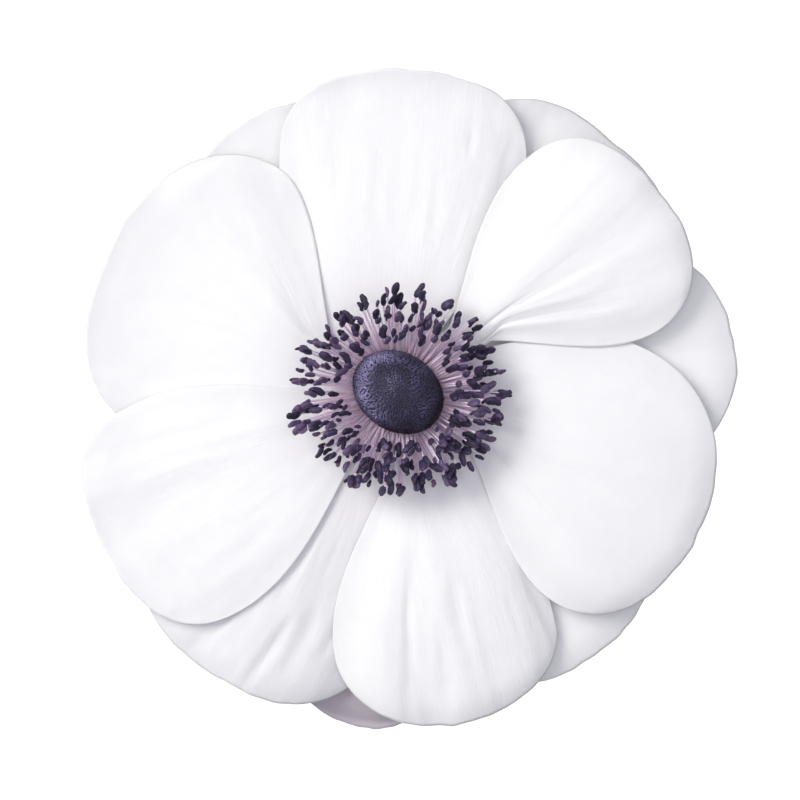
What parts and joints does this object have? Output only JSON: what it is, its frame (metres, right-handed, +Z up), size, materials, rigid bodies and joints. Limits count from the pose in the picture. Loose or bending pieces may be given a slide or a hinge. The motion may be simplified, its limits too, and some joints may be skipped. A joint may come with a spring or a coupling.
{
  "type": "anemone flower",
  "caption": "White poppy anemone, a cut flower head lying face up: broad overlapping tepals round a ring of slate-violet stamens and a dark domed head of carpels, on a short cut stem stub.",
  "frame": {"origin": "on the surface that the flower rests on, at the centre of its outline seen from above", "axes": "+Z up, the way the flower faces; +Y towards the tepal that stands uppermost in the view from above; +X to its right"},
  "size_m": [0.0798, 0.081, 0.0158],
  "materials": {
    "receptacle": "satin",
    "carpel_head": "matte",
    "stamens": "satin",
    "tepals": "matte"
  },
  "bodies": {
    "root": {"receptacle": "receptacle", "carpel_head": "carpel_head", "stamens_outer": "stamens", "stamens_middle": "stamens", "stamens_inner": "stamens", "tepal_outer_1": "tepals", "tepal_outer_2": "tepals", "tepal_outer_3": "tepals", "tepal_outer_4": "tepals", "tepal_outer_5": "tepals", "tepal_inner_1": "tepals", "tepal_inner_2": "tepals", "tepal_inner_3": "tepals", "tepal_inner_4": "tepals", "tepal_inner_5": "tepals", "tepal_inner_6": "tepals", "tepal_inner_7": "tepals"}
  },
  "joints": []
}
